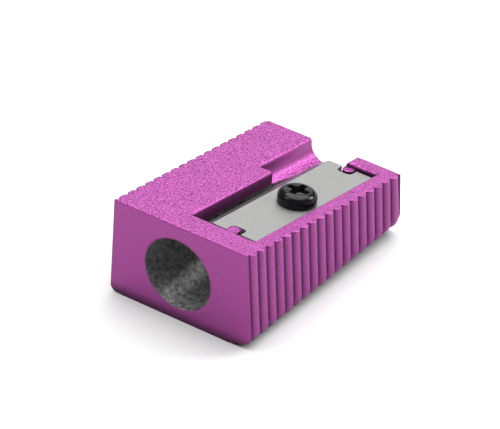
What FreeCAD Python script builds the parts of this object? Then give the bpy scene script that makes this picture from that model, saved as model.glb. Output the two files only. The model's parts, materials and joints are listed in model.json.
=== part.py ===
"""Single-hole wedge pencil sharpener: cast body, blade and blade screw.

Frame: +Z up, the flat underside on Z = 0, length along Y and width along X, both
centred on the origin, with the pencil mouth in the -Y face. Units are millimetres.

The top of the body is one inclined plane, high at the mouth and low at the back.
Features of that plane are placed in "slope" coordinates: across (along X), along
(down the slope from the front edge) and rise (outward, square to the plane).
"""
import FreeCAD, Part
import math
import os

import Sketcher
from FreeCAD import Placement, Rotation, Vector

doc = FreeCAD.newDocument("wedge_sharpener")
sheet = doc.addObject("Spreadsheet::Sheet", "sizes")

# ---------------------------------------------------------------- driving sizes
SIZES = {
    # body block
    "body_length": 25.0,
    "body_width": 17.0,          # over the rib crests, carried down to the underside
    "front_height": 10.75,
    "back_height": 6.85,
    "side_draft": 2.7,           # degrees, each side leans in towards the top
    "rib_count": 18,             # whole ribs between the first valley and the last
    "rib_depth": 0.45,
    "first_valley": 0.38,        # behind the mouth face
    "last_valley": 0.1,          # before the back face
    "rib_lift_left": 0.05,       # rib feet above the resting face
    "rib_lift_right": 0.25,
    "rib_rise_right": 1.0,       # degrees, the right ribs' feet rise towards the back
    "rib_turn_right": 1.6,       # outer radius where the right ribs turn under
    "core_radius_left": 1.1,     # the core turns wider than the ribs, so they stand proud
    "core_radius_right": 2.6,
    "top_edge_radius": 0.2,
    # pencil mouth
    "mouth_diameter": 7.73,
    "mouth_offset": -0.38,       # across, from the middle of the body
    "guide_length": 1.9,         # straight run before the cone
    # blade pocket, in slope coordinates
    "pocket_right": 6.28,
    "pocket_near": 3.1,
    "pocket_far": 23.6,
    "blade_recess": 0.5,         # blade top below the body top
    "lip_left": -0.99,
    # shavings chute
    "chute_left": -2.57,
    "chute_near": 16.4,
    "chute_radius": 1.7,
    "chute_depth": 2.3,
    "chute_right": 1.2,
    "back_block_left": 2.78,
    "back_gap_near": 21.9,
    "slot_depth": 2.6,
    "slot_right": 0.3,
    "slot_overlap": 0.5,         # the slot runs on into the chute
    # blade
    "blade_thickness": 0.85,
    "blade_near": 3.9,
    "blade_end_gap": 0.15,
    "blade_side_gap": 0.1,
    "bevel_width": 1.25,
    "edge_land": 0.06,           # blunt height left at the ground edge
    "blade_corner_radius": 1.4,
    "notch_centre": 3.3,
    "notch_width": 1.7,
    "notch_depth": 1.2,
    "notch_round": 0.5,
    "lug_width": 1.2,
    "lug_gap": 0.45,             # lug tip to the bottom of its notch
    "near_lug_drop": 0.3,
    "far_lug_drop": 0.5,
    # screw
    "screw_across": 3.9,
    "screw_along": 13.5,
    "screw_diameter": 2.5,
    "screw_clearance": 0.1,      # added to the bore and the blade hole
    "screw_reach": 4.6,          # shank below the head
    "shank_chamfer": 0.3,
    "bore_extra": 0.4,           # bore below the shank's end
    "head_diameter": 3.9,
    "head_height": 1.4,
    "head_round": 0.75,
    "recess_span": 2.35,
    "recess_arm": 0.72,
    "recess_centre": 1.3,        # across the round middle of the recess
    "recess_depth": 0.9,
}
for row, (alias, value) in enumerate(SIZES.items(), start=1):
    sheet.set(f"A{row}", alias)
    sheet.set(f"B{row}", str(value))
    sheet.setAlias(f"B{row}", alias)
doc.recompute()


def size(alias):
    """Return one driving size as a plain number."""
    return float(sheet.get(alias))


TILT = "atan((sizes.front_height - sizes.back_height) / sizes.body_length)"
TILT_DEG = math.degrees(math.atan((size("front_height") - size("back_height")) / size("body_length")))
FLOOR = "(sizes.blade_recess + sizes.blade_thickness)"          # pocket floor below the top
OVER = 3.0                                                      # cutters reach past what they cut
ROOTED = 0.3                                                    # lugs start this deep in the casting
MOUTH_Y = -size("body_length") / 2


def place_on_slope(item, across, along, rise):
    """Place an item, by expressions, in slope coordinates with its Z square to the top."""
    item.Placement = Placement(Vector(), Rotation(Vector(-1, 0, 0), TILT_DEG))
    item.setExpression("Placement.Rotation.Angle", TILT)
    item.setExpression("Placement.Base.x", f"{across}")
    item.setExpression("Placement.Base.y",
                       f"-sizes.body_length / 2 + ({along}) * cos({TILT}) + ({rise}) * sin({TILT})")
    item.setExpression("Placement.Base.z",
                       f"sizes.front_height - ({along}) * sin({TILT}) + ({rise}) * cos({TILT})")


def slope_box(name, left, right, near, far, low, high):
    """Make a box between six slope coordinates, each an expression."""
    box = doc.addObject("Part::Box", name)
    box.setExpression("Length", f"({right}) - ({left})")
    box.setExpression("Width", f"({far}) - ({near})")
    box.setExpression("Height", f"({high}) - ({low})")
    place_on_slope(box, left, near, low)
    return box


def slope_cylinder(name, across, along, low, high, radius):
    """Make a cylinder square to the top plane."""
    cylinder = doc.addObject("Part::Cylinder", name)
    cylinder.setExpression("Radius", radius)
    cylinder.setExpression("Height", f"({high}) - ({low})")
    place_on_slope(cylinder, across, along, low)
    return cylinder


def fuse(name, shapes):
    """Join several items into one."""
    joined = doc.addObject("Part::MultiFuse", name)
    joined.Shapes = shapes
    return joined


def cut(name, base, tool):
    """Remove one item from another."""
    result = doc.addObject("Part::Cut", name)
    result.Base = base
    result.Tool = tool
    return result


# ------------------------------------------------------------------------ body
def rib_pitch():
    """Return the distance from one rib to the next."""
    return (size("body_length") - size("first_valley") - size("last_valley")) / size("rib_count")


def rib_radius():
    """Return the radius of a rib's round section, from its pitch and depth."""
    return (rib_pitch() ** 2 / 4 + size("rib_depth") ** 2) / (2 * size("rib_depth"))


def rib_axis_at(height):
    """Return how far out a rib's axis stands at a height."""
    draft = math.radians(size("side_draft"))
    return size("body_width") / 2 - rib_radius() / math.cos(draft) - height * math.tan(draft)


def straight_rib(body):
    """Turn a left rib: a leaning rod with a round nose at its foot."""
    radius, draft = rib_radius(), math.radians(size("side_draft"))
    up = Vector(math.sin(draft), math.cos(draft), 0)
    out = Vector(-math.cos(draft), math.sin(draft), 0)
    low = radius + size("rib_lift_left")
    centre = Vector(-rib_axis_at(low), low, 0)
    top = centre + up * (size("front_height") + OVER)
    section = new_sketch(body, "left_rib_section", "XZ_Plane")
    for a, b in ((centre - up * radius, top), (top, top + out * radius),
                 (top + out * radius, centre + out * radius)):
        section.addGeometry(Part.LineSegment(a, b), False)
    bend = centre + (out - up) * (radius * math.sqrt(0.5))
    section.addGeometry(Part.Arc(centre + out * radius, bend, centre - up * radius), False)
    section.addGeometry(Part.LineSegment(centre, top), True)
    rod = body.newObject("PartDesign::Revolution", "left_rib")
    rod.Profile = section
    rod.ReferenceAxis = (section, ["Axis0"])
    rod.Angle = 360
    return rod


def curled_rib(body):
    """Sweep a right rib: a leaning rod that turns under the block at its foot."""
    radius, draft = rib_radius(), math.radians(size("side_draft"))
    high = size("front_height") + OVER
    low = radius + size("rib_lift_right")
    bend = size("rib_turn_right") - radius
    turn = math.pi / 2 + draft
    tangent = bend * math.tan(turn / 2)
    corner = Vector(rib_axis_at(low), low, 0)
    down, inward = Vector(math.sin(draft), -math.cos(draft), 0), Vector(-1, 0, 0)
    start, end = corner - down * tangent, corner + inward * tangent
    towards_centre = (inward - down).normalize()
    middle = corner + towards_centre * (bend / math.cos(turn / 2) - bend)
    top = Vector(rib_axis_at(high), high, 0)
    path = new_sketch(body, "right_rib_path", "XZ_Plane")
    path.addGeometry(Part.LineSegment(top, start), False)
    path.addGeometry(Part.Arc(start, middle, end), False)
    path.addGeometry(Part.LineSegment(end, end + inward * radius), False)
    section = new_sketch(body, "right_rib_section", "XY_Plane")
    section.AttachmentOffset = Placement(Vector(0, 0, high), Rotation())
    section.addGeometry(Part.Circle(Vector(top.x, 0, 0), Vector(0, 0, 1), radius), False)
    rod = body.newObject("PartDesign::AdditivePipe", "right_rib")
    rod.Profile = section
    rod.Spine = path
    return rod


def make_ribs(name, first_rib, rise):
    """Build one side's ribs: the first is made at the mouth end, the rest are its pattern.

    The row climbs towards the back by rise, an angle given as an expression.
    """
    body = doc.addObject("PartDesign::Body", name)
    rod = first_rib(body)
    doc.recompute()
    row = body.newObject("PartDesign::LinearPattern", f"{name}_row")
    row.Originals = [rod]
    row.Direction = (origin_plane(body, "Y_Axis"), [""])
    valleys = "sizes.body_length - sizes.first_valley - sizes.last_valley"
    row.setExpression("Length", f"({valleys}) * (1 + 1 / sizes.rib_count)")
    row.setExpression("Occurrences", "sizes.rib_count + 2")
    body.Tip = row
    body.Placement = Placement(Vector(), Rotation(Vector(1, 0, 0), 1))
    body.setExpression("Placement.Rotation.Angle", rise)
    body.setExpression("Placement.Base.y", "sizes.first_valley - sizes.body_length / 2"
                       f" - ({valleys}) / (2 * sizes.rib_count)")
    return body


def drafted_prism(name, inset, long_edges, length):
    """Make a block along Y whose sides lean in with the draft.

    Args: inset is how far its sides stand inside the rib crests, long_edges lists pairs of
    a radius and a test that picks the long edges it rounds, and length is its length.
    """
    half = size("body_width") / 2 - inset
    height = size("front_height") + OVER
    lean = math.tan(math.radians(size("side_draft"))) * height
    ends = [Vector(-half, 0, 0), Vector(half, 0, 0), Vector(half - lean, 0, height),
            Vector(-half + lean, 0, height)]
    solid = Part.Face(Part.makePolygon(ends + [ends[0]])).extrude(Vector(0, length, 0))
    for radius, wanted in long_edges:
        edges = [edge for edge in solid.Edges if long_edge(edge) and wanted(edge.CenterOfMass)]
        solid = solid.makeFillet(radius, edges)
    block = doc.addObject("Part::Feature", name)
    block.Shape = solid
    return block


def make_core():
    """Build the solid block behind the ribs."""
    corners = [(size("core_radius_left"), lambda p: p.x < 0 and p.z < 0.01),
               (size("core_radius_right"), lambda p: p.x > 0 and p.z < 0.01)]
    behind_valleys = 0.02
    core = drafted_prism("core", size("rib_depth") + behind_valleys, corners, size("body_length"))
    core.Placement = Placement(Vector(0, MOUTH_Y, 0), Rotation())
    return core


def make_top_trim():
    """Build the block that cuts the inclined top and rounds its long edges."""
    outside = 0.02
    length = size("body_length") + 2 * OVER
    upright = drafted_prism("upright_trim", -outside, [], length)
    upright.Placement = Placement(Vector(0, MOUTH_Y - OVER, 0), Rotation())
    under_slope = Part.makeBox(2 * size("body_width"), 2 * length, 2 * size("front_height"))
    under_slope.translate(Vector(-size("body_width"), -length / 2, -2 * size("front_height")))
    slope = Placement(Vector(0, MOUTH_Y, size("front_height")), Rotation(Vector(-1, 0, 0), TILT_DEG))
    under_slope.Placement = slope.multiply(under_slope.Placement)
    solid = upright.Shape.common(under_slope)
    rims = [edge for edge in solid.Edges if on_slope_rim(edge, slope)]
    trim = doc.addObject("Part::Feature", "top_trim")
    trim.Shape = solid.makeFillet(size("top_edge_radius"), rims)
    return trim


def on_slope_rim(edge, slope):
    """Tell whether an edge lies in the inclined top and runs down it."""
    ends = [slope.inverse().multVec(vertex.Point) for vertex in edge.Vertexes]
    flat = all(abs(end.z) < 1e-6 for end in ends)
    return flat and abs(ends[0].y - ends[-1].y) > size("body_length")


def make_end_trim():
    """Build the box that squares off the two ends."""
    trim = doc.addObject("Part::Box", "end_trim")
    trim.setExpression("Length", "2 * sizes.body_width")
    trim.setExpression("Width", "sizes.body_length")
    trim.setExpression("Height", f"sizes.front_height + {2 * OVER}")
    trim.setExpression("Placement.Base.x", "-sizes.body_width")
    trim.setExpression("Placement.Base.y", "-sizes.body_length / 2")
    trim.setExpression("Placement.Base.z", f"-{OVER}")
    return trim


def long_edge(edge):
    """Tell whether a straight edge runs along Y."""
    ends = [v.Point for v in edge.Vertexes]
    return len(ends) == 2 and abs(ends[0].x - ends[1].x) < 1e-6 and abs(ends[0].z - ends[1].z) < 1e-6


def chute_cutter():
    """Make the chute: a wall that drops from the top and sweeps round under the blade."""
    sketch = doc.addObject("Sketcher::SketchObject", "chute_section")
    left, radius = size("chute_left"), size("chute_radius")
    low, right = -size("chute_depth"), size("chute_right")
    start = Vector(left, low + radius, 0)
    middle = Vector(left + radius * (1 - math.sqrt(0.5)), low + radius * (1 - math.sqrt(0.5)), 0)
    foot = Vector(left + radius, low, 0)
    corner_low = Vector(right, low, 0)
    corner_high = Vector(right, OVER, 0)
    top = Vector(left, OVER, 0)
    sketch.addGeometry(Part.Arc(start, middle, foot), False)
    for a, b in ((foot, corner_low), (corner_low, corner_high), (corner_high, top), (top, start)):
        sketch.addGeometry(Part.LineSegment(a, b), False)
    chute = doc.addObject("Part::Extrusion", "chute")
    chute.Base = sketch
    chute.DirMode = "Custom"
    chute.Dir = Vector(0, math.cos(math.radians(TILT_DEG)), -math.sin(math.radians(TILT_DEG)))
    chute.setExpression("LengthFwd", f"sizes.body_length - sizes.chute_near + {OVER}")
    chute.Solid = True
    return chute


def place_section_on_slope(sketch, along):
    """Stand a section up square to the slope, its X across and its Y along the rise."""
    upright = Rotation(Vector(1, 0, 0), 90)
    slope = Rotation(Vector(-1, 0, 0), TILT_DEG)
    tilt = math.radians(TILT_DEG)
    sketch.Placement = Placement(
        Vector(0, MOUTH_Y + along * math.cos(tilt), size("front_height") - along * math.sin(tilt)),
        slope.multiply(upright))


def pencil_cone():
    """Revolve the mouth: a short straight guide, then a cone along the blade's plane."""
    tilt = math.radians(TILT_DEG)
    radius = size("mouth_diameter") / 2
    guide = size("guide_length")
    floor = (size("blade_recess") + size("blade_thickness")) / math.cos(tilt)
    axis_height = size("front_height") - floor - guide * math.tan(tilt) - radius
    straight = doc.addObject("Part::Cylinder", "mouth_guide")
    straight.setExpression("Radius", "sizes.mouth_diameter / 2")
    straight.setExpression("Height", f"sizes.guide_length + {OVER}")
    straight.Placement = Placement(Vector(size("mouth_offset"), MOUTH_Y - OVER, axis_height),
                                   Rotation(Vector(1, 0, 0), -90))
    cone = doc.addObject("Part::Cone", "mouth_cone")
    length = radius / math.tan(tilt)
    cone.setExpression("Radius1", "sizes.mouth_diameter / 2")
    cone.Radius2 = 0.0
    cone.Height = length
    cone.Placement = Placement(Vector(size("mouth_offset"), MOUTH_Y + guide, axis_height),
                               Rotation(Vector(1, 0, 0), -90))
    return [straight, cone]


def lug(name, wall, tip, drop):
    """Make a blade lug: a round-ended tab that stands on the pocket floor."""
    across = "sizes.notch_centre"
    half = "sizes.lug_width / 2"
    towards_back = name == "near_lug"
    end = f"({tip}) - {half}" if towards_back else f"({tip}) + {half}"
    near, far = (f"({wall}) - {ROOTED}", end) if towards_back else (end, f"({wall}) + {ROOTED}")
    low = f"-{FLOOR} - {ROOTED}"
    stem = slope_box(f"{name}_stem", f"{across} - {half}", f"{across} + {half}", near, far, low, f"-({drop})")
    nose = slope_cylinder(f"{name}_nose", across, end, low, f"-({drop})", half)
    return [stem, nose]


def make_body():
    """Build the cast body."""
    ribs = [make_ribs("left_ribs", straight_rib, "0"),
            make_ribs("right_ribs", curled_rib, "sizes.rib_rise_right")]
    block = fuse("ribbed_block", [make_core()] + ribs)
    trimmed = doc.addObject("Part::MultiCommon", "trimmed_block")
    trimmed.Shapes = [block, make_top_trim(), make_end_trim()]

    floor = f"-{FLOOR}"
    pocket = slope_box("blade_pocket", "sizes.lip_left", "sizes.pocket_right", "sizes.pocket_near",
                       "sizes.pocket_far", floor, OVER)
    slot = slope_box("shavings_slot", "sizes.lip_left", "sizes.slot_right", "sizes.pocket_near",
                     "sizes.chute_near + sizes.slot_overlap", "-sizes.slot_depth", OVER)
    chute = chute_cutter()
    place_section_on_slope(chute.Base, size("chute_near"))
    back_gap = slope_box("back_gap", "sizes.mouth_offset", "sizes.back_block_left",
                         "sizes.back_gap_near", f"sizes.body_length + {OVER}", "-sizes.chute_depth", OVER)
    bore = slope_cylinder("screw_bore", "sizes.screw_across", "sizes.screw_along",
                          "-sizes.blade_recess - sizes.screw_reach - sizes.bore_extra", OVER,
                          "(sizes.screw_diameter + sizes.screw_clearance) / 2")
    hollow = fuse("hollows", [pocket, slot, chute, back_gap, bore] + pencil_cone())
    carved = cut("carved_block", trimmed, hollow)
    lugs = lug("near_lug", "sizes.pocket_near",
               "sizes.blade_near + sizes.notch_depth - sizes.lug_gap", "sizes.near_lug_drop")
    lugs += lug("far_lug", "sizes.pocket_far",
                "sizes.pocket_far - sizes.blade_end_gap - sizes.notch_depth + sizes.lug_gap",
                "sizes.far_lug_drop")
    body = fuse("body_with_lugs", [carved] + lugs)
    body.Refine = True
    body.Label = "sharpener_body"
    return body


# --------------------------------------------------------------------- sketches
def origin_plane(body, role):
    """Find one of a body's own origin planes."""
    return next(item for item in body.Origin.OriginFeatures if item.Role == role)


def new_sketch(body, name, role):
    """Start a sketch on an origin plane of the body."""
    sketch = body.newObject("Sketcher::SketchObject", name)
    sketch.AttachmentSupport = [(origin_plane(body, role), "")]
    sketch.MapMode = "FlatFace"
    return sketch


def bound(sketch, kind, first, first_pos, second, second_pos, name, text, guess):
    """Add one measured constraint and tie it to an expression."""
    index = sketch.addConstraint(Sketcher.Constraint(kind, first, first_pos, second, second_pos, guess))
    sketch.renameConstraint(index, name)
    sketch.setExpression(f"Constraints.{name}", text)


def rectangle(body, name, role, left, right, low, high):
    """Sketch a rectangle between four coordinates given as expressions."""
    sketch = new_sketch(body, name, role)
    ends = [evaluate(text) for text in (left, right, low, high)]
    x0, x1, y0, y1 = ends
    corners = [Vector(x0, y0, 0), Vector(x1, y0, 0), Vector(x1, y1, 0), Vector(x0, y1, 0)]
    for k in range(4):
        sketch.addGeometry(Part.LineSegment(corners[k], corners[(k + 1) % 4]), False)
    for k in range(4):
        sketch.addConstraint(Sketcher.Constraint("Coincident", k, 2, (k + 1) % 4, 1))
    for k in (0, 2):
        sketch.addConstraint(Sketcher.Constraint("Horizontal", k))
    for k in (1, 3):
        sketch.addConstraint(Sketcher.Constraint("Vertical", k))
    bound(sketch, "DistanceX", -1, 1, 0, 1, "left", left, x0)
    bound(sketch, "DistanceX", -1, 1, 2, 1, "right", right, x1)
    bound(sketch, "DistanceY", -1, 1, 0, 1, "low", low, y0)
    bound(sketch, "DistanceY", -1, 1, 2, 1, "high", high, y1)
    return sketch


def circle(body, name, role, across, along, radius):
    """Sketch a circle whose centre and radius are expressions."""
    sketch = new_sketch(body, name, role)
    x0, y0, r0 = (evaluate(text) for text in (across, along, radius))
    sketch.addGeometry(Part.Circle(Vector(x0, y0, 0), Vector(0, 0, 1), r0), False)
    bound(sketch, "DistanceX", -1, 1, 0, 3, "across", across, x0)
    bound(sketch, "DistanceY", -1, 1, 0, 3, "along", along, y0)
    index = sketch.addConstraint(Sketcher.Constraint("Radius", 0, r0))
    sketch.renameConstraint(index, "radius")
    sketch.setExpression("Constraints.radius", radius)
    return sketch


def evaluate(text):
    """Work out an expression over the sheet, as a number."""
    value = sheet.evalExpression(text)
    return float(getattr(value, "Value", value))


def through_pocket(body, name, sketch):
    """Cut a sketch right through the body, both ways."""
    pocket = body.newObject("PartDesign::Pocket", name)
    pocket.Profile = sketch
    pocket.Type = "ThroughAll"
    pocket.Midplane = True
    return pocket


# ----------------------------------------------------------------------- blade
def make_blade():
    """Build the blade flat, its underside on Z = 0, then lay it on the pocket floor."""
    body = doc.addObject("PartDesign::Body", "cutting_blade")
    left, right = "sizes.mouth_offset", "sizes.pocket_right - sizes.blade_side_gap"
    near, far = "sizes.blade_near", "sizes.pocket_far - sizes.blade_end_gap"
    plate = body.newObject("PartDesign::Pad", "blade_plate")
    plate.Profile = rectangle(body, "blade_outline", "XY_Plane", left, right, near, far)
    plate.setExpression("Length", "sizes.blade_thickness")
    centre, half = "sizes.notch_centre", "sizes.notch_width / 2"
    through_pocket(body, "near_notch", rectangle(
        body, "near_notch_outline", "XY_Plane", f"{centre} - {half}", f"{centre} + {half}",
        f"{near} - 1", f"{near} + sizes.notch_depth"))
    through_pocket(body, "far_notch", rectangle(
        body, "far_notch_outline", "XY_Plane", f"{centre} - {half}", f"{centre} + {half}",
        f"{far} - sizes.notch_depth", f"{far} + 1"))
    through_pocket(body, "blade_hole", circle(
        body, "blade_hole_outline", "XY_Plane", "sizes.screw_across", "sizes.screw_along",
        "(sizes.screw_diameter + 2 * sizes.screw_clearance) / 2"))
    doc.recompute()
    round_corners(body)
    grind_bevel(body)
    body.Label = "cutting_blade"
    place_on_slope(body, "0", "0", f"-{FLOOR}")
    return body


def round_corners(body):
    """Round the far corner beside the edge, and the bottoms of the two notches."""
    base = body.Tip
    corner = Vector(size("mouth_offset"), size("pocket_far") - size("blade_end_gap"), 0)
    big = [name for name in upright_edges(base.Shape) if near_point(base.Shape.getElement(name), corner)]
    fillet = body.newObject("PartDesign::Fillet", "far_corner_round")
    fillet.Base = (base, big)
    fillet.setExpression("Radius", "sizes.blade_corner_radius")
    doc.recompute()
    base = body.Tip
    near_bottom = size("blade_near") + size("notch_depth")
    far_bottom = size("pocket_far") - size("blade_end_gap") - size("notch_depth")
    small = []
    for name in upright_edges(base.Shape):
        point = base.Shape.getElement(name).CenterOfMass
        if min(abs(point.y - near_bottom), abs(point.y - far_bottom)) < 0.01:
            small.append(name)
    fillet = body.newObject("PartDesign::Fillet", "notch_round")
    fillet.Base = (base, small)
    fillet.setExpression("Radius", "sizes.notch_round")
    doc.recompute()


def upright_edges(shape):
    """Name the straight edges square to the plate."""
    names = []
    for number, edge in enumerate(shape.Edges, start=1):
        ends = [v.Point for v in edge.Vertexes]
        if len(ends) == 2 and (ends[0] - ends[1]).cross(Vector(0, 0, 1)).Length < 1e-6:
            names.append(f"Edge{number}")
    return names


def near_point(edge, point):
    """Tell whether an upright edge passes a point of the plan."""
    middle = edge.CenterOfMass
    return math.hypot(middle.x - point.x, middle.y - point.y) < 0.01


def grind_bevel(body):
    """Cut the long bevel that leaves the cutting edge at the blade's underside."""
    sketch = new_sketch(body, "bevel_section", "XZ_Plane")
    edge, land = size("mouth_offset"), size("edge_land")
    thick, width = size("blade_thickness"), size("bevel_width")
    slope = (thick - land) / width
    corners = [Vector(edge - 1, land - slope, 0), Vector(edge + width + 1, thick + slope, 0),
               Vector(edge - 1, thick + slope, 0)]
    for k in range(3):
        sketch.addGeometry(Part.LineSegment(corners[k], corners[(k + 1) % 3]), False)
    through_pocket(body, "bevel", sketch)


# ----------------------------------------------------------------------- screw
def make_screw():
    """Build the pan-head screw upright, its seat on Z = 0, then set it on the blade."""
    body = doc.addObject("PartDesign::Body", "blade_screw")
    sketch = new_sketch(body, "screw_profile", "XZ_Plane")
    radius, head = size("screw_diameter") / 2, size("head_diameter") / 2
    height, reach = size("head_height"), size("screw_reach")
    roundness, chamfer = size("head_round"), size("shank_chamfer")
    side = Vector(head, height - roundness, 0)
    crown = Vector(head - roundness, height, 0)
    bend = Vector(head - roundness * (1 - math.sqrt(0.5)), height - roundness * (1 - math.sqrt(0.5)), 0)
    points = [crown, Vector(0, height, 0), Vector(0, -reach, 0), Vector(radius - chamfer, -reach, 0),
              Vector(radius, -reach + chamfer, 0), Vector(radius, 0, 0), Vector(head, 0, 0), side]
    for a, b in zip(points, points[1:]):
        sketch.addGeometry(Part.LineSegment(a, b), False)
    sketch.addGeometry(Part.Arc(side, bend, crown), False)
    turned = body.newObject("PartDesign::Revolution", "turned_screw")
    turned.Profile = sketch
    turned.ReferenceAxis = (sketch, ["V_Axis"])
    turned.Angle = 360
    doc.recompute()
    arms = [rectangle(body, f"{name}_outline", "XY_Plane", f"-{across} / 2", f"{across} / 2",
                      f"-{along} / 2", f"{along} / 2")
            for name, across, along in (("recess_slot_a", "sizes.recess_span", "sizes.recess_arm"),
                                        ("recess_slot_b", "sizes.recess_arm", "sizes.recess_span"))]
    middle = circle(body, "recess_middle_outline", "XY_Plane", "0", "0", "sizes.recess_centre / 2")
    for outline in arms + [middle]:
        outline.AttachmentOffset = Placement(Vector(0, 0, height), Rotation())
        outline.setExpression("AttachmentOffset.Base.z", "sizes.head_height")
        pocket = body.newObject("PartDesign::Pocket", outline.Name.replace("_outline", ""))
        pocket.Profile = outline
        pocket.setExpression("Length", "sizes.recess_depth")
    body.Label = "blade_screw"
    place_on_slope(body, "sizes.screw_across", "sizes.screw_along", "-sizes.blade_recess")
    return body


# ---------------------------------------------------------------------- output
def check_and_write(nodes):
    """Stop on any failed object or bad shape, then write one STEP file per node."""
    doc.recompute()
    failed = [item.Name for item in doc.Objects if {"Invalid", "Error"} & set(item.State)]
    if failed:
        raise RuntimeError(f"failed objects: {failed}")
    os.makedirs("parts", exist_ok=True)
    for node in nodes:
        shape = node.Shape
        if shape.isNull() or not shape.isValid() or len(shape.Solids) != 1:
            raise RuntimeError(f"{node.Label} has no single valid solid")
        shape.exportStep(os.path.join("parts", f"{node.Label}.step"))
        print(node.Label, "volume", round(shape.Volume, 3), "mm3")


check_and_write([make_body(), make_blade(), make_screw()])
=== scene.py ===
"""Looks of a one-hole wedge pencil sharpener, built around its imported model.

Units are metres. The long axis is +Y, the pencil mouth faces -Y and +Z is up.
"""

import json
import logging
import math
from dataclasses import dataclass, field

import bmesh
import bpy
from mathutils import Matrix, Vector


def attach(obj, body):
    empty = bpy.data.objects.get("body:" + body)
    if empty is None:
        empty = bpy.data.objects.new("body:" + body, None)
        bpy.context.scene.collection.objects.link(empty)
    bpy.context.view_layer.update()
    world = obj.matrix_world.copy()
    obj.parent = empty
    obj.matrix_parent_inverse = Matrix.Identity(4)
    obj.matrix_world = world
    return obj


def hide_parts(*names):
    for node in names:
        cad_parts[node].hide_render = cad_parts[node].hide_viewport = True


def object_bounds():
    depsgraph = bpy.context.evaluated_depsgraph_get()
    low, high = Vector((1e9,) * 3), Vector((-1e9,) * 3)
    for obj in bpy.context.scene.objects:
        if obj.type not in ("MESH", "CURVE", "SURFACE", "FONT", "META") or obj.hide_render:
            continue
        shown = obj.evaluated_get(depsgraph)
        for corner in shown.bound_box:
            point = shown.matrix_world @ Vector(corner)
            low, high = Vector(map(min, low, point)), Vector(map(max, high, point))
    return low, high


MM = 0.001
WELD_DISTANCE = 0.0005 * MM
FLAT_ANGLE = math.radians(0.6)
WHITE = (1.0, 1.0, 1.0)
log = logging.getLogger("sharpener")

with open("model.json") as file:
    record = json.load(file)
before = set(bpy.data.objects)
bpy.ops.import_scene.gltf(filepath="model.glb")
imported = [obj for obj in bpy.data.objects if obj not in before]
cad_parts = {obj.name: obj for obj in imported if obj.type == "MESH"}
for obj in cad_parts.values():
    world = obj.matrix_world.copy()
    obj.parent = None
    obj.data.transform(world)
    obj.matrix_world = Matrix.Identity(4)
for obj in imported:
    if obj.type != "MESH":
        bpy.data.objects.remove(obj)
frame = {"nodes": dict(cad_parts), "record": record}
cad_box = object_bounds()


# ------------------------------------------------------------------ node helpers
class Graph:
    """A small wrapper that makes and joins the nodes of one material."""

    def __init__(self, name: str) -> None:
        """Start an empty node tree with a Principled shader.

        Args:
            name: the material's name.
        """
        self.material = bpy.data.materials.new(name)
        self.material.use_nodes = True
        self.nodes = self.material.node_tree.nodes
        self.links = self.material.node_tree.links
        self.shader = self.nodes["Principled BSDF"]

    def add(self, kind: str, **settings: object) -> bpy.types.Node:
        """Add a node and set its properties and input values.

        Args:
            kind: the node's type name.
            settings: properties by name, or inputs by name with underscores for spaces.

        Returns:
            The new node.
        """
        node = self.nodes.new(kind)
        for key, value in settings.items():
            if hasattr(node, key):
                setattr(node, key, value)
            else:
                node.inputs[key.replace("_", " ")].default_value = value
        return node

    def join(self, output: bpy.types.NodeSocket, target: bpy.types.NodeSocket) -> None:
        """Link one socket to another."""
        self.links.new(output, target)

    def object_space(self) -> bpy.types.NodeSocket:
        """Return the object coordinates, which are the model's own metres."""
        return self.add("ShaderNodeTexCoord").outputs["Object"]

    def noise(self, coords: bpy.types.NodeSocket, scale: float, detail: float = 2.0,
              roughness: float = 0.5) -> bpy.types.NodeSocket:
        """Add a noise texture.

        Args:
            coords: the coordinates it reads.
            scale: its scale, in cells per metre.
            detail: how many octaves it has.
            roughness: how strong the finer octaves are.

        Returns:
            The noise factor.
        """
        node = self.add("ShaderNodeTexNoise", Scale=scale, Detail=detail, Roughness=roughness)
        self.join(coords, node.inputs["Vector"])
        return node.outputs["Fac"]

    def ramp(self, value: bpy.types.NodeSocket, stops: list[tuple[float, tuple[float, float, float]]]
             ) -> bpy.types.NodeSocket:
        """Turn a value into a colour by a ramp.

        Args:
            value: the value read.
            stops: positions and their linear colours.

        Returns:
            The ramp's colour.
        """
        node = self.add("ShaderNodeValToRGB")
        elements = node.color_ramp.elements
        while len(elements) < len(stops):
            elements.new(1.0)
        for element, (position, colour) in zip(elements, stops):
            element.position = position
            element.color = (*colour, 1.0)
        self.join(value, node.inputs["Fac"])
        return node.outputs["Color"]

    def spread(self, value: bpy.types.NodeSocket, low: float, high: float) -> bpy.types.NodeSocket:
        """Stretch a value from 0 to 1 over another range.

        Args:
            value: the value read.
            low: what 0 becomes.
            high: what 1 becomes.

        Returns:
            The stretched value.
        """
        node = self.add("ShaderNodeMapRange")
        node.inputs["To Min"].default_value = low
        node.inputs["To Max"].default_value = high
        self.join(value, node.inputs["Value"])
        return node.outputs["Result"]

    def bump(self, height: bpy.types.NodeSocket, distance: float, strength: float = 1.0,
             after: bpy.types.NodeSocket | None = None) -> bpy.types.NodeSocket:
        """Add a bump and return its normal.

        Args:
            height: the height read, 0 to 1.
            distance: the height's size in metres.
            strength: how much of it shows.
            after: an earlier bump's normal to add to.

        Returns:
            The normal.
        """
        node = self.add("ShaderNodeBump", Distance=distance, Strength=strength)
        self.join(height, node.inputs["Height"])
        if after is not None:
            self.join(after, node.inputs["Normal"])
        return node.outputs["Normal"]

    def multiply(self, first: bpy.types.NodeSocket, second: bpy.types.NodeSocket
                 ) -> bpy.types.NodeSocket:
        """Multiply two colours.

        Args:
            first: one colour.
            second: the other colour.

        Returns:
            Their product.
        """
        node = self.add("ShaderNodeMix", data_type="RGBA", blend_type="MULTIPLY")
        node.inputs["Factor"].default_value = 1.0
        self.join(first, node.inputs[6])
        self.join(second, node.inputs[7])
        return node.outputs[2]

    def set(self, **values: object) -> None:
        """Set constant values on the shader's own sockets, named with underscores for spaces."""
        for key, value in values.items():
            self.shader.inputs[key.replace("_", " ")].default_value = value


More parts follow.
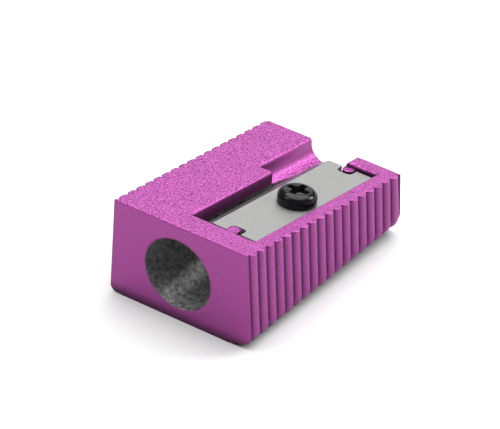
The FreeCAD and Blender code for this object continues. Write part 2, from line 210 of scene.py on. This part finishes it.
# ---------------------------------------------------------------------- finishes
@dataclass(frozen=True)
class MagentaLacquer:
    """Metallic magenta lacquer over a casting with a grainy top, its colour speckle partly the
    lacquer's grain and partly painted sparkle, and painted shade darkening its grooves.
    """

    deep: tuple[float, float, float] = (0.170, 0.022, 0.134)
    light: tuple[float, float, float] = (0.440, 0.088, 0.362)
    sheen: tuple[float, float, float] = (0.98, 0.78, 0.95)
    roughness: tuple[float, float] = (0.34, 0.46)
    painted_shade_grey: float = 0.20
    painted_shade_stops: tuple[float, float] = (0.60, 0.98)
    painted_shade_reach: float = 1.5 * MM
    round_edge: float = 0.32 * MM
    grain_scale: float = 9000.0
    grain_height: float = 0.012 * MM
    peel_scale: float = 6000.0
    peel_height: float = 0.07 * MM
    grain_sparkle_stops: tuple[float, float] = (0.40, 0.60)
    upward_range: tuple[float, float] = (0.5, 0.9)
    smooth_share: float = 0.2

    def build(self) -> bpy.types.Material:
        """Make the lacquer.

        Returns:
            The material.
        """
        graph = Graph("magenta_lacquer")
        coords = graph.object_space()
        grain = graph.noise(coords, self.grain_scale, 2.0, 0.6)
        peel = graph.noise(coords, self.peel_scale, 2.0, 0.5)
        grain_and_sparkle = self.grain_and_sparkle_height(graph, peel)
        # the colour speckle is partly the lacquer's grain and partly painted sparkle, strongest on
        # faces that point up
        first, last = self.grain_sparkle_stops
        colour = graph.ramp(grain_and_sparkle, [(first, self.deep), (last, self.light)])
        # painted shade: the base colour is darkened by ambient occlusion in grooves, recesses and near
        # the floor
        colour_with_painted_shade = graph.multiply(colour, self.paint_shade_in_grooves(graph))
        graph.join(colour_with_painted_shade, graph.shader.inputs["Base Color"])
        graph.join(graph.spread(peel, *self.roughness), graph.shader.inputs["Roughness"])
        edge = graph.add("ShaderNodeBevel", samples=6, Radius=self.round_edge)
        coarse = graph.bump(grain_and_sparkle, self.peel_height, 1.0, edge.outputs["Normal"])
        fine = graph.bump(grain, self.grain_height, 1.0, coarse)
        graph.join(fine, graph.shader.inputs["Normal"])
        graph.join(fine, graph.shader.inputs["Coat Normal"])
        graph.set(Metallic=0.8, Coat_Weight=0.14, Coat_Roughness=0.28, Specular_IOR_Level=0.3,
                  Specular_Tint=(*self.sheen, 1.0))
        return graph.material

    def paint_shade_in_grooves(self, graph: Graph) -> bpy.types.NodeSocket:
        """Paint shade into the colour by ambient occlusion, darker in the grooves and near the floor.

        Args:
            graph: the material's nodes.

        Returns:
            A grey, the painted shade, that is 1 on open faces.
        """
        shade_occlusion = graph.add("ShaderNodeAmbientOcclusion", samples=8, Distance=self.painted_shade_reach)
        shade = (self.painted_shade_grey,) * 3
        closed, open_face = self.painted_shade_stops
        return graph.ramp(shade_occlusion.outputs["AO"], [(closed, shade), (open_face, WHITE)])

    def grain_and_sparkle_height(self, graph: Graph, peel: bpy.types.NodeSocket) -> bpy.types.NodeSocket:
        """Keep the grainy texture strong on faces that point up and weak on upright ones; in the colour
        it is partly the lacquer's grain and partly painted sparkle.

        Args:
            graph: the material's nodes.
            peel: the texture's height.

        Returns:
            The weighted height.
        """
        facing = graph.add("ShaderNodeSeparateXYZ")
        graph.join(graph.add("ShaderNodeNewGeometry").outputs["True Normal"], facing.inputs[0])
        share = graph.add("ShaderNodeMapRange")
        share.inputs["From Min"].default_value = self.upward_range[0]
        share.inputs["From Max"].default_value = self.upward_range[1]
        share.inputs["To Min"].default_value = self.smooth_share
        graph.join(facing.outputs["Z"], share.inputs["Value"])
        height = graph.add("ShaderNodeMix", data_type="FLOAT")
        height.inputs[2].default_value = 0.5
        graph.join(share.outputs["Result"], height.inputs[0])
        graph.join(peel, height.inputs[3])
        return height.outputs[0]


@dataclass(frozen=True)
class BareCasting:
    """Unpainted dark grey casting inside the mouth, scuffed by pencils."""

    dark: tuple[float, float, float] = (0.08, 0.08, 0.08)
    worn: tuple[float, float, float] = (0.42, 0.42, 0.42)
    wear_scale: float = 2200.0
    wear_stops: tuple[float, float] = (0.36, 0.70)
    grit_scale: float = 6000.0
    grit_height: float = 0.02 * MM

    def build(self) -> bpy.types.Material:
        """Make the bare casting.

        Returns:
            The material.
        """
        graph = Graph("bare_casting")
        coords = graph.object_space()
        wear = graph.noise(coords, self.wear_scale, 5.0, 0.65)
        grit = graph.noise(coords, self.grit_scale, 2.0, 0.6)
        first, last = self.wear_stops
        colour = graph.ramp(wear, [(first, self.dark), (last, self.worn)])
        graph.join(colour, graph.shader.inputs["Base Color"])
        graph.join(graph.bump(grit, self.grit_height, 0.8), graph.shader.inputs["Normal"])
        graph.set(Metallic=0.5, Roughness=0.42)
        return graph.material


@dataclass(frozen=True)
class GroundSteel:
    """Pale satin steel with fine grinding marks along the blade."""

    base: tuple[float, float, float] = (0.215, 0.215, 0.213)
    bright: tuple[float, float, float] = (0.26, 0.26, 0.257)
    name: str = "blade_steel"
    roughness: float = 0.45
    mark_scale: float = 9000.0
    mark_stretch: float = 0.06
    mark_height: float = 0.004 * MM
    cloud_scale: float = 300.0

    def build(self) -> bpy.types.Material:
        """Make the steel.

        Returns:
            The material.
        """
        graph = Graph(self.name)
        coords = graph.object_space()
        stretch = graph.add("ShaderNodeMapping")
        stretch.inputs["Scale"].default_value = (1.0, self.mark_stretch, 1.0)
        graph.join(coords, stretch.inputs["Vector"])
        marks = graph.noise(stretch.outputs["Vector"], self.mark_scale, 3.0, 0.6)
        cloud = graph.noise(coords, self.cloud_scale, 2.0, 0.5)
        colour = graph.ramp(marks, [(0.3, self.base), (0.7, self.bright)])
        graph.join(colour, graph.shader.inputs["Base Color"])
        graph.join(graph.spread(cloud, self.roughness - 0.05, self.roughness + 0.06),
                   graph.shader.inputs["Roughness"])
        graph.join(graph.bump(marks, self.mark_height, 0.4), graph.shader.inputs["Normal"])
        graph.set(Metallic=0.7)
        return graph.material


@dataclass(frozen=True)
class BlackScrew:
    """Glossy black finish of the screw."""

    colour: tuple[float, float, float] = (0.008, 0.008, 0.009)
    roughness: tuple[float, float] = (0.10, 0.20)
    swirl_scale: float = 900.0
    swirl_height: float = 0.01 * MM

    def build(self) -> bpy.types.Material:
        """Make the black finish.

        Returns:
            The material.
        """
        graph = Graph("screw_black")
        coords = graph.object_space()
        swirl = graph.noise(coords, self.swirl_scale, 2.0, 0.5)
        graph.join(graph.spread(swirl, *self.roughness), graph.shader.inputs["Roughness"])
        graph.join(graph.bump(swirl, self.swirl_height, 0.4), graph.shader.inputs["Normal"])
        graph.set(Base_Color=(*self.colour, 1.0), Metallic=0.0, Specular_IOR_Level=0.18)
        return graph.material


# ------------------------------------------------------------------------ pieces
def merged_copy(node: str, name: str) -> bpy.types.Object:
    """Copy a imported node's mesh, with its doubled corners joined.

    Args:
        node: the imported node's name.
        name: the new piece's name.

    Returns:
        The new object, linked to the scene.
    """
    mesh = frame["nodes"][node].data.copy()
    mesh.name = name
    form = bmesh.new()
    form.from_mesh(mesh)
    bmesh.ops.remove_doubles(form, verts=form.verts, dist=WELD_DISTANCE)
    bmesh.ops.dissolve_limit(form, angle_limit=FLAT_ANGLE, verts=form.verts, edges=form.edges)
    form.to_mesh(mesh)
    form.free()
    piece = bpy.data.objects.new(name, mesh)
    bpy.context.scene.collection.objects.link(piece)
    return piece


def soften_edges(piece: bpy.types.Object, width: float, angle: float = 32.0, segments: int = 3) -> None:
    """Round a piece's hard edges and shade it smoothly.

    Args:
        piece: the piece.
        width: the rounding's width in metres.
        angle: edges sharper than this, in degrees, are rounded.
        segments: how many steps the rounding has.
    """
    bevel = piece.modifiers.new("edge_rounding", "BEVEL")
    bevel.width = width
    bevel.segments = segments
    bevel.limit_method = "ANGLE"
    bevel.angle_limit = math.radians(angle)
    bevel.harden_normals = False
    bevel.miter_outer = "MITER_ARC"
    bevel.use_clamp_overlap = True
    for polygon in piece.data.polygons:
        polygon.use_smooth = True
    normals = piece.modifiers.new("flat_faces", "WEIGHTED_NORMAL")
    normals.keep_sharp = True


@dataclass
class CastBody:
    """The cast and lacquered block.

    The rims that are rounded are long, sharp, in the inclined top and inside its outer edges.
    """

    edge: float = 0.14 * MM
    rim: float = 0.28 * MM
    rim_length: float = 1.2 * MM
    rim_angle: float = math.radians(60.0)
    top_facing: float = 0.95
    inner_width: float = 7.5 * MM
    inner_length: float = 12.0 * MM
    mouth_radius: float = 3.865 * MM
    guide_length: float = 1.9 * MM
    cone_half_angle: float = math.radians(8.867)
    cone_fit: float = 0.12 * MM
    towards_axis: float = 0.9
    along_axis: float = 0.3
    lacquer: MagentaLacquer = field(default_factory=MagentaLacquer)
    casting: BareCasting = field(default_factory=BareCasting)

    def build(self) -> bpy.types.Object:
        """Make the body, its mouth left as bare casting.

        Returns:
            The body.
        """
        piece = merged_copy("sharpener_body", "cast_body")
        self.round_rims(piece)
        piece.data.materials.clear()
        piece.data.materials.append(self.lacquer.build())
        piece.data.materials.append(self.casting.build())
        self.bare_mouth(piece)
        soften_edges(piece, self.edge)
        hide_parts("sharpener_body")
        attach(piece, "block")
        return piece

    def round_rims(self, piece: bpy.types.Object) -> None:
        """Round the long rims of the pocket, slot and chute in the inclined top.

        Args:
            piece: the body.
        """
        form = bmesh.new()
        form.from_mesh(piece.data)
        rims = [edge for edge in form.edges
                if edge.is_manifold and edge.is_convex and edge.calc_length() > self.rim_length
                and edge.calc_face_angle() > self.rim_angle
                and any(face.normal.z > self.top_facing for face in edge.link_faces)
                and all(abs(corner.co.x) < self.inner_width for corner in edge.verts)
                and abs((edge.verts[0].co.y + edge.verts[1].co.y) / 2) < self.inner_length]
        bmesh.ops.bevel(form, geom=rims, offset=self.rim, offset_type="OFFSET", affect="EDGES",
                        segments=3, profile=0.5, material=-1, clamp_overlap=False)
        log.info("%d rims rounded", len(rims))
        form.to_mesh(piece.data)
        form.free()

    def bare_mouth(self, piece: bpy.types.Object) -> None:
        """Give the faces of the mouth and cone the bare casting.

        Args:
            piece: the body.
        """
        mouth = next(m for m in frame["record"]["mounts"] if m["name"] == "pencil_mouth")
        centre = Vector(mouth["pos_m"])
        taper = math.tan(self.cone_half_angle)
        for polygon in piece.data.polygons:
            middle = polygon.center
            out = math.hypot(middle.x - centre.x, middle.z - centre.z)
            inward = polygon.normal.x * (centre.x - middle.x) + polygon.normal.z * (centre.z - middle.z)
            facing = inward / max(out, 1e-9)
            deep = max(middle.y - centre.y - self.guide_length, 0.0)
            on_cone = abs(out - (self.mouth_radius - deep * taper)) < self.cone_fit
            if on_cone and facing > self.towards_axis and abs(polygon.normal.y) < self.along_axis:
                polygon.material_index = 1


@dataclass
class SteelBlade:
    """The ground steel blade, whose bevel is the face that leans towards -X."""

    edge: float = 0.03 * MM
    bevel_lean: float = 0.3
    steel: GroundSteel = field(default_factory=GroundSteel)
    ground: GroundSteel = field(default_factory=lambda: GroundSteel(
        base=(0.09, 0.09, 0.09), bright=(0.12, 0.12, 0.12), name="ground_bevel", roughness=0.4))

    def build(self) -> bpy.types.Object:
        """Make the blade, its bevel darker than its face.

        Returns:
            The blade.
        """
        piece = merged_copy("cutting_blade", "steel_blade")
        piece.data.materials.clear()
        piece.data.materials.append(self.steel.build())
        piece.data.materials.append(self.ground.build())
        for polygon in piece.data.polygons:
            if polygon.normal.x < -self.bevel_lean and polygon.normal.z > self.bevel_lean:
                polygon.material_index = 1
        soften_edges(piece, self.edge, angle=30.0, segments=2)
        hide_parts("cutting_blade")
        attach(piece, "blade")
        return piece


@dataclass
class ClampScrew:
    """The black cross-recess screw."""

    edge: float = 0.06 * MM
    black: BlackScrew = field(default_factory=BlackScrew)

    def build(self) -> bpy.types.Object:
        """Make the screw.

        Returns:
            The screw.
        """
        piece = merged_copy("blade_screw", "clamp_screw")
        piece.data.materials.clear()
        piece.data.materials.append(self.black.build())
        soften_edges(piece, self.edge)
        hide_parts("blade_screw")
        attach(piece, "screw")
        return piece


# ------------------------------------------------------------------------ studio
@dataclass
class SoftLight:
    """One wide, distant soft light that lights the floor evenly; its angles are in degrees."""

    name: str
    azimuth: float
    elevation: float
    spread: float
    power: float

    def build(self) -> bpy.types.Object:
        """Make the light.

        Returns:
            The light's object.
        """
        data = bpy.data.lights.new(self.name, "SUN")
        data.angle = math.radians(self.spread)
        data.energy = self.power
        light = bpy.data.objects.new(self.name, data)
        bpy.context.scene.collection.objects.link(light)
        back = direction(self.azimuth, self.elevation)
        light.location = back
        light.rotation_mode = "QUATERNION"
        light.rotation_quaternion = (-back).to_track_quat("-Z", "Y")
        return light


def direction(azimuth: float, elevation: float) -> Vector:
    """Return the unit vector towards an azimuth and elevation in degrees; 0 is towards -Y."""
    a, e = math.radians(azimuth), math.radians(elevation)
    return Vector((math.sin(a) * math.cos(e), -math.cos(a) * math.cos(e), math.sin(e)))


@dataclass
class Studio:
    """The pale floor, soft lights, white surroundings and camera.

    The camera's angles and its roll are in degrees, and its lens is in millimetres.
    """

    azimuth: float = 35.385
    elevation: float = 34.17
    roll: float = 1.234
    distance: float = 381.7 * MM
    lens: float = 284.16
    aim_right: float = -0.794 * MM
    aim_up: float = 0.437 * MM
    aim_height: float = 5.0 * MM
    floor_reach: float = 3.0
    floor_grey: float = 0.56
    surroundings: float = 0.05
    lights: tuple[SoftLight, ...] = (
        SoftLight("top_light", 195.0, 78.0, 75.0, 6.4),
        SoftLight("right_back_light", 143.0, 27.0, 26.0, 2.1),
        SoftLight("left_back_light", 213.0, 24.0, 36.0, 0.35),
        SoftLight("left_front_fill", -40.0, 40.0, 26.0, 0.55),
    )

    def build(self) -> None:
        """Make the studio around the sharpener."""
        low, high = cad_box
        target = Vector(((low.x + high.x) / 2, (low.y + high.y) / 2, self.aim_height))
        self.floor()
        self.world()
        for light in self.lights:
            light.build()
        self.camera(target)

    def floor(self) -> None:
        """Lay a wide pale floor under the sharpener."""
        form = bmesh.new()
        bmesh.ops.create_grid(form, x_segments=1, y_segments=1, size=self.floor_reach)
        mesh = bpy.data.meshes.new("studio_floor")
        form.to_mesh(mesh)
        form.free()
        floor = bpy.data.objects.new("studio_floor", mesh)
        bpy.context.scene.collection.objects.link(floor)
        graph = Graph("pale_floor")
        grey = self.floor_grey
        graph.set(Base_Color=(grey, grey, grey, 1.0), Roughness=0.9, Specular_IOR_Level=0.1)
        mesh.materials.append(graph.material)

    def world(self) -> None:
        """Surround the sharpener with even white light."""
        world = bpy.data.worlds.new("white_surroundings")
        bpy.context.scene.world = world
        world.use_nodes = True
        background = world.node_tree.nodes["Background"]
        background.inputs["Color"].default_value = (*WHITE, 1.0)
        background.inputs["Strength"].default_value = self.surroundings
        bpy.context.scene.view_settings.view_transform = "Standard"

    def camera(self, target: Vector) -> None:
        """Place the camera.

        Args:
            target: the point of the sharpener that it looks near.
        """
        back = direction(self.azimuth, self.elevation)
        right = Vector((0.0, 0.0, 1.0)).cross(back).normalized()
        up = back.cross(right)
        lean = math.radians(self.roll)
        across = right * math.cos(lean) + up * math.sin(lean)
        above = up * math.cos(lean) - right * math.sin(lean)
        data = bpy.data.cameras.new("studio_camera")
        data.lens = self.lens
        data.clip_start = 0.01
        data.clip_end = 10.0
        camera = bpy.data.objects.new("studio_camera", data)
        bpy.context.scene.collection.objects.link(camera)
        place = target + across * self.aim_right + above * self.aim_up + back * self.distance
        turn = Matrix((across, above, back)).transposed()
        camera.matrix_world = Matrix.Translation(place) @ turn.to_4x4()
        bpy.context.scene.camera = camera


def main() -> None:
    """Build every piece and the studio."""
    logging.basicConfig(level=logging.INFO, format="%(message)s")
    for part in (CastBody(), SteelBlade(), ClampScrew()):
        piece = part.build()
        log.info("%s: %d faces", piece.name, len(piece.data.polygons))
    Studio().build()


if __name__ == "__main__":
    main()
